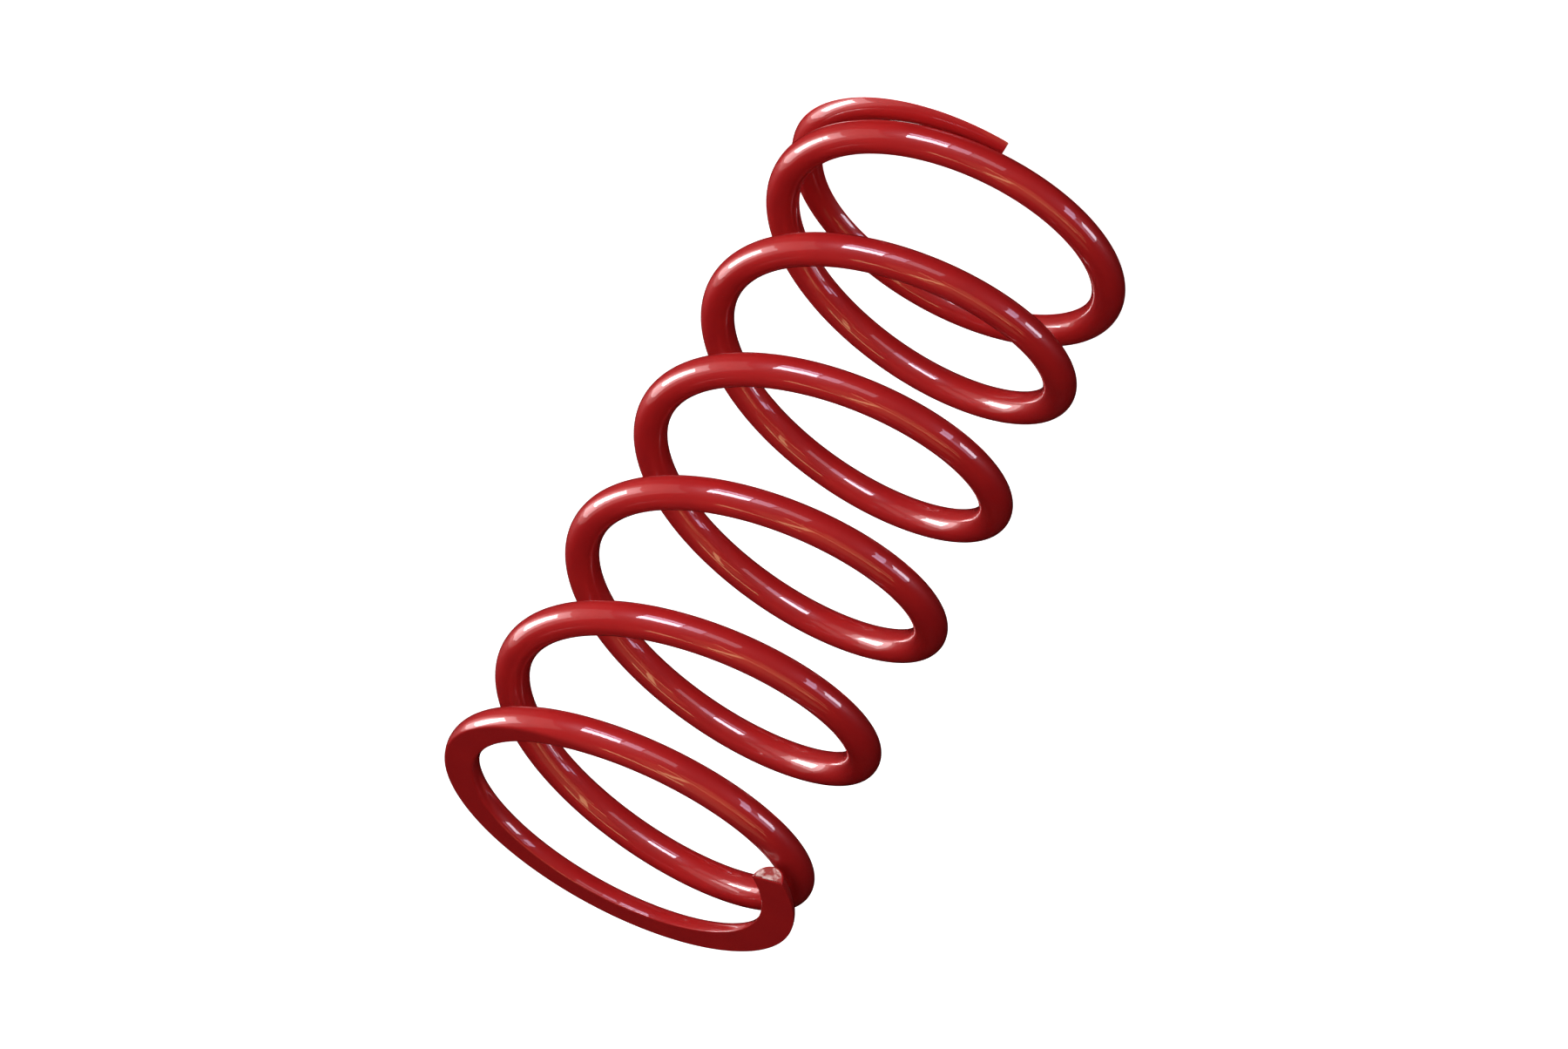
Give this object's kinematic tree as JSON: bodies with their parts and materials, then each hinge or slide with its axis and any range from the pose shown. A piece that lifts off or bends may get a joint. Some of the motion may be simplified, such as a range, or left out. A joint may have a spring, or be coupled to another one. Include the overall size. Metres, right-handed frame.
{
  "type": "coil spring",
  "caption": "Round-wire helical compression spring for a car's suspension, right-hand wound, closed and ground flat at both ends, painted red.",
  "frame": {"origin": "on the coil's axis, in the plane of the lower ground end", "axes": "+Z along the coil's axis from the lower end to the upper end; +X through the lower tip of the wire"},
  "size_m": [0.111, 0.111, 0.227],
  "materials": {
    "red_powder_coat": "glossy"
  },
  "bodies": {
    "lower_end_coil": {"lower_end_coil": "red_powder_coat"},
    "active_arc_01": {"active_arc_01": "red_powder_coat"},
    "active_arc_02": {"active_arc_02": "red_powder_coat"},
    "active_arc_03": {"active_arc_03": "red_powder_coat"},
    "active_arc_04": {"active_arc_04": "red_powder_coat"},
    "active_arc_05": {"active_arc_05": "red_powder_coat"},
    "active_arc_06": {"active_arc_06": "red_powder_coat"},
    "active_arc_07": {"active_arc_07": "red_powder_coat"},
    "active_arc_08": {"active_arc_08": "red_powder_coat"},
    "active_arc_09": {"active_arc_09": "red_powder_coat"},
    "active_arc_10": {"active_arc_10": "red_powder_coat"},
    "active_arc_11": {"active_arc_11": "red_powder_coat"},
    "active_arc_12": {"active_arc_12": "red_powder_coat"},
    "active_arc_13": {"active_arc_13": "red_powder_coat"},
    "active_arc_14": {"active_arc_14": "red_powder_coat"},
    "active_arc_15": {"active_arc_15": "red_powder_coat"},
    "active_arc_16": {"active_arc_16": "red_powder_coat"},
    "active_arc_17": {"active_arc_17": "red_powder_coat"},
    "active_arc_18": {"active_arc_18": "red_powder_coat"},
    "active_arc_19": {"active_arc_19": "red_powder_coat"},
    "active_arc_20": {"active_arc_20": "red_powder_coat"},
    "active_arc_21": {"active_arc_21": "red_powder_coat"},
    "active_arc_22": {"active_arc_22": "red_powder_coat"},
    "active_arc_23": {"active_arc_23": "red_powder_coat"},
    "active_arc_24": {"active_arc_24": "red_powder_coat"},
    "active_arc_25": {"active_arc_25": "red_powder_coat"},
    "active_arc_26": {"active_arc_26": "red_powder_coat"},
    "active_arc_27": {"active_arc_27": "red_powder_coat"},
    "active_arc_28": {"active_arc_28": "red_powder_coat"},
    "active_arc_29": {"active_arc_29": "red_powder_coat"},
    "active_arc_30": {"active_arc_30": "red_powder_coat"},
    "active_arc_31": {"active_arc_31": "red_powder_coat"},
    "active_arc_32": {"active_arc_32": "red_powder_coat"},
    "active_arc_33": {"active_arc_33": "red_powder_coat"},
    "active_arc_34": {"active_arc_34": "red_powder_coat"},
    "active_arc_35": {"active_arc_35": "red_powder_coat"},
    "active_arc_36": {"active_arc_36": "red_powder_coat"},
    "active_arc_37": {"active_arc_37": "red_powder_coat"},
    "active_arc_38": {"active_arc_38": "red_powder_coat"},
    "active_arc_39": {"active_arc_39": "red_powder_coat"},
    "upper_end_coil": {"upper_end_coil": "red_powder_coat"}
  },
  "joints": [
    {"name": "compression", "type": "slide", "parent": "lower_end_coil", "child": "upper_end_coil", "axis": [0, 0, 1], "range_m": [-0.146, 0], "stiffness_N_per_m": 19800},
    {"name": "closing_01", "type": "slide", "parent": "lower_end_coil", "child": "active_arc_01", "axis": [0, 0, 1], "range_m": [-0.000299, 0.0002]},
    {"name": "closing_02", "type": "slide", "parent": "lower_end_coil", "child": "active_arc_02", "axis": [0, 0, 1], "range_m": [-0.00207, 0.0002]},
    {"name": "closing_03", "type": "slide", "parent": "lower_end_coil", "child": "active_arc_03", "axis": [0, 0, 1], "range_m": [-0.00501, 0.0002]},
    {"name": "closing_04", "type": "slide", "parent": "lower_end_coil", "child": "active_arc_04", "axis": [0, 0, 1], "range_m": [-0.00876, 0.0002]},
    {"name": "closing_05", "type": "slide", "parent": "lower_end_coil", "child": "active_arc_05", "axis": [0, 0, 1], "range_m": [-0.01304, 0.0002]},
    {"name": "closing_06", "type": "slide", "parent": "lower_end_coil", "child": "active_arc_06", "axis": [0, 0, 1], "range_m": [-0.01736, 0.0002]},
    {"name": "closing_07", "type": "slide", "parent": "lower_end_coil", "child": "active_arc_07", "axis": [0, 0, 1], "range_m": [-0.02124, 0.0002]},
    {"name": "closing_08", "type": "slide", "parent": "lower_end_coil", "child": "active_arc_08", "axis": [0, 0, 1], "range_m": [-0.02513, 0.0002]},
    {"name": "closing_09", "type": "slide", "parent": "lower_end_coil", "child": "active_arc_09", "axis": [0, 0, 1], "range_m": [-0.02902, 0.0002]},
    {"name": "closing_10", "type": "slide", "parent": "lower_end_coil", "child": "active_arc_10", "axis": [0, 0, 1], "range_m": [-0.0329, 0.0002]},
    {"name": "closing_11", "type": "slide", "parent": "lower_end_coil", "child": "active_arc_11", "axis": [0, 0, 1], "range_m": [-0.03679, 0.0002]},
    {"name": "closing_12", "type": "slide", "parent": "lower_end_coil", "child": "active_arc_12", "axis": [0, 0, 1], "range_m": [-0.04068, 0.0002]},
    {"name": "closing_13", "type": "slide", "parent": "lower_end_coil", "child": "active_arc_13", "axis": [0, 0, 1], "range_m": [-0.04456, 0.0002]},
    {"name": "closing_14", "type": "slide", "parent": "lower_end_coil", "child": "active_arc_14", "axis": [0, 0, 1], "range_m": [-0.04845, 0.0002]},
    {"name": "closing_15", "type": "slide", "parent": "lower_end_coil", "child": "active_arc_15", "axis": [0, 0, 1], "range_m": [-0.05233, 0.0002]},
    {"name": "closing_16", "type": "slide", "parent": "lower_end_coil", "child": "active_arc_16", "axis": [0, 0, 1], "range_m": [-0.05622, 0.0002]},
    {"name": "closing_17", "type": "slide", "parent": "lower_end_coil", "child": "active_arc_17", "axis": [0, 0, 1], "range_m": [-0.06011, 0.0002]},
    {"name": "closing_18", "type": "slide", "parent": "lower_end_coil", "child": "active_arc_18", "axis": [0, 0, 1], "range_m": [-0.064, 0.0002]},
    {"name": "closing_19", "type": "slide", "parent": "lower_end_coil", "child": "active_arc_19", "axis": [0, 0, 1], "range_m": [-0.06788, 0.0002]},
    {"name": "closing_20", "type": "slide", "parent": "lower_end_coil", "child": "active_arc_20", "axis": [0, 0, 1], "range_m": [-0.07177, 0.0002]},
    {"name": "closing_21", "type": "slide", "parent": "lower_end_coil", "child": "active_arc_21", "axis": [0, 0, 1], "range_m": [-0.07566, 0.0002]},
    {"name": "closing_22", "type": "slide", "parent": "lower_end_coil", "child": "active_arc_22", "axis": [0, 0, 1], "range_m": [-0.07954, 0.0002]},
    {"name": "closing_23", "type": "slide", "parent": "lower_end_coil", "child": "active_arc_23", "axis": [0, 0, 1], "range_m": [-0.08343, 0.0002]},
    {"name": "closing_24", "type": "slide", "parent": "lower_end_coil", "child": "active_arc_24", "axis": [0, 0, 1], "range_m": [-0.08732, 0.0002]},
    {"name": "closing_25", "type": "slide", "parent": "lower_end_coil", "child": "active_arc_25", "axis": [0, 0, 1], "range_m": [-0.0912, 0.0002]},
    {"name": "closing_26", "type": "slide", "parent": "lower_end_coil", "child": "active_arc_26", "axis": [0, 0, 1], "range_m": [-0.09509, 0.0002]},
    {"name": "closing_27", "type": "slide", "parent": "lower_end_coil", "child": "active_arc_27", "axis": [0, 0, 1], "range_m": [-0.09897, 0.0002]},
    {"name": "closing_28", "type": "slide", "parent": "lower_end_coil", "child": "active_arc_28", "axis": [0, 0, 1], "range_m": [-0.10286, 0.0002]},
    {"name": "closing_29", "type": "slide", "parent": "lower_end_coil", "child": "active_arc_29", "axis": [0, 0, 1], "range_m": [-0.10675, 0.0002]},
    {"name": "closing_30", "type": "slide", "parent": "lower_end_coil", "child": "active_arc_30", "axis": [0, 0, 1], "range_m": [-0.11064, 0.0002]},
    {"name": "closing_31", "type": "slide", "parent": "lower_end_coil", "child": "active_arc_31", "axis": [0, 0, 1], "range_m": [-0.11452, 0.0002]},
    {"name": "closing_32", "type": "slide", "parent": "lower_end_coil", "child": "active_arc_32", "axis": [0, 0, 1], "range_m": [-0.11841, 0.0002]},
    {"name": "closing_33", "type": "slide", "parent": "lower_end_coil", "child": "active_arc_33", "axis": [0, 0, 1], "range_m": [-0.1223, 0.0002]},
    {"name": "closing_34", "type": "slide", "parent": "lower_end_coil", "child": "active_arc_34", "axis": [0, 0, 1], "range_m": [-0.12618, 0.0002]},
    {"name": "closing_35", "type": "slide", "parent": "lower_end_coil", "child": "active_arc_35", "axis": [0, 0, 1], "range_m": [-0.13007, 0.0002]},
    {"name": "closing_36", "type": "slide", "parent": "lower_end_coil", "child": "active_arc_36", "axis": [0, 0, 1], "range_m": [-0.13395, 0.0002]},
    {"name": "closing_37", "type": "slide", "parent": "lower_end_coil", "child": "active_arc_37", "axis": [0, 0, 1], "range_m": [-0.13804, 0.0002]},
    {"name": "closing_38", "type": "slide", "parent": "lower_end_coil", "child": "active_arc_38", "axis": [0, 0, 1], "range_m": [-0.14258, 0.0002]},
    {"name": "closing_39", "type": "slide", "parent": "lower_end_coil", "child": "active_arc_39", "axis": [0, 0, 1], "range_m": [-0.14602, 0.0002]}
  ],
  "couplings": [
    {"joint": "closing_01", "follows": "compression", "ratio": 0.00068},
    {"joint": "closing_02", "follows": "compression", "ratio": 0.01281},
    {"joint": "closing_03", "follows": "compression", "ratio": 0.03292},
    {"joint": "closing_04", "follows": "compression", "ratio": 0.05863},
    {"joint": "closing_05", "follows": "compression", "ratio": 0.08793},
    {"joint": "closing_06", "follows": "compression", "ratio": 0.11751},
    {"joint": "closing_07", "follows": "compression", "ratio": 0.14413},
    {"joint": "closing_08", "follows": "compression", "ratio": 0.17075},
    {"joint": "closing_09", "follows": "compression", "ratio": 0.19737},
    {"joint": "closing_10", "follows": "compression", "ratio": 0.22399},
    {"joint": "closing_11", "follows": "compression", "ratio": 0.25061},
    {"joint": "closing_12", "follows": "compression", "ratio": 0.27723},
    {"joint": "closing_13", "follows": "compression", "ratio": 0.30385},
    {"joint": "closing_14", "follows": "compression", "ratio": 0.33047},
    {"joint": "closing_15", "follows": "compression", "ratio": 0.35709},
    {"joint": "closing_16", "follows": "compression", "ratio": 0.38372},
    {"joint": "closing_17", "follows": "compression", "ratio": 0.41034},
    {"joint": "closing_18", "follows": "compression", "ratio": 0.43696},
    {"joint": "closing_19", "follows": "compression", "ratio": 0.46358},
    {"joint": "closing_20", "follows": "compression", "ratio": 0.4902},
    {"joint": "closing_21", "follows": "compression", "ratio": 0.51682},
    {"joint": "closing_22", "follows": "compression", "ratio": 0.54344},
    {"joint": "closing_23", "follows": "compression", "ratio": 0.57006},
    {"joint": "closing_24", "follows": "compression", "ratio": 0.59668},
    {"joint": "closing_25", "follows": "compression", "ratio": 0.6233},
    {"joint": "closing_26", "follows": "compression", "ratio": 0.64992},
    {"joint": "closing_27", "follows": "compression", "ratio": 0.67654},
    {"joint": "closing_28", "follows": "compression", "ratio": 0.70316},
    {"joint": "closing_29", "follows": "compression", "ratio": 0.72979},
    {"joint": "closing_30", "follows": "compression", "ratio": 0.75641},
    {"joint": "closing_31", "follows": "compression", "ratio": 0.78303},
    {"joint": "closing_32", "follows": "compression", "ratio": 0.80965},
    {"joint": "closing_33", "follows": "compression", "ratio": 0.83627},
    {"joint": "closing_34", "follows": "compression", "ratio": 0.86289},
    {"joint": "closing_35", "follows": "compression", "ratio": 0.88951},
    {"joint": "closing_36", "follows": "compression", "ratio": 0.91613},
    {"joint": "closing_37", "follows": "compression", "ratio": 0.94414},
    {"joint": "closing_38", "follows": "compression", "ratio": 0.9752},
    {"joint": "closing_39", "follows": "compression", "ratio": 0.99875}
  ]
}
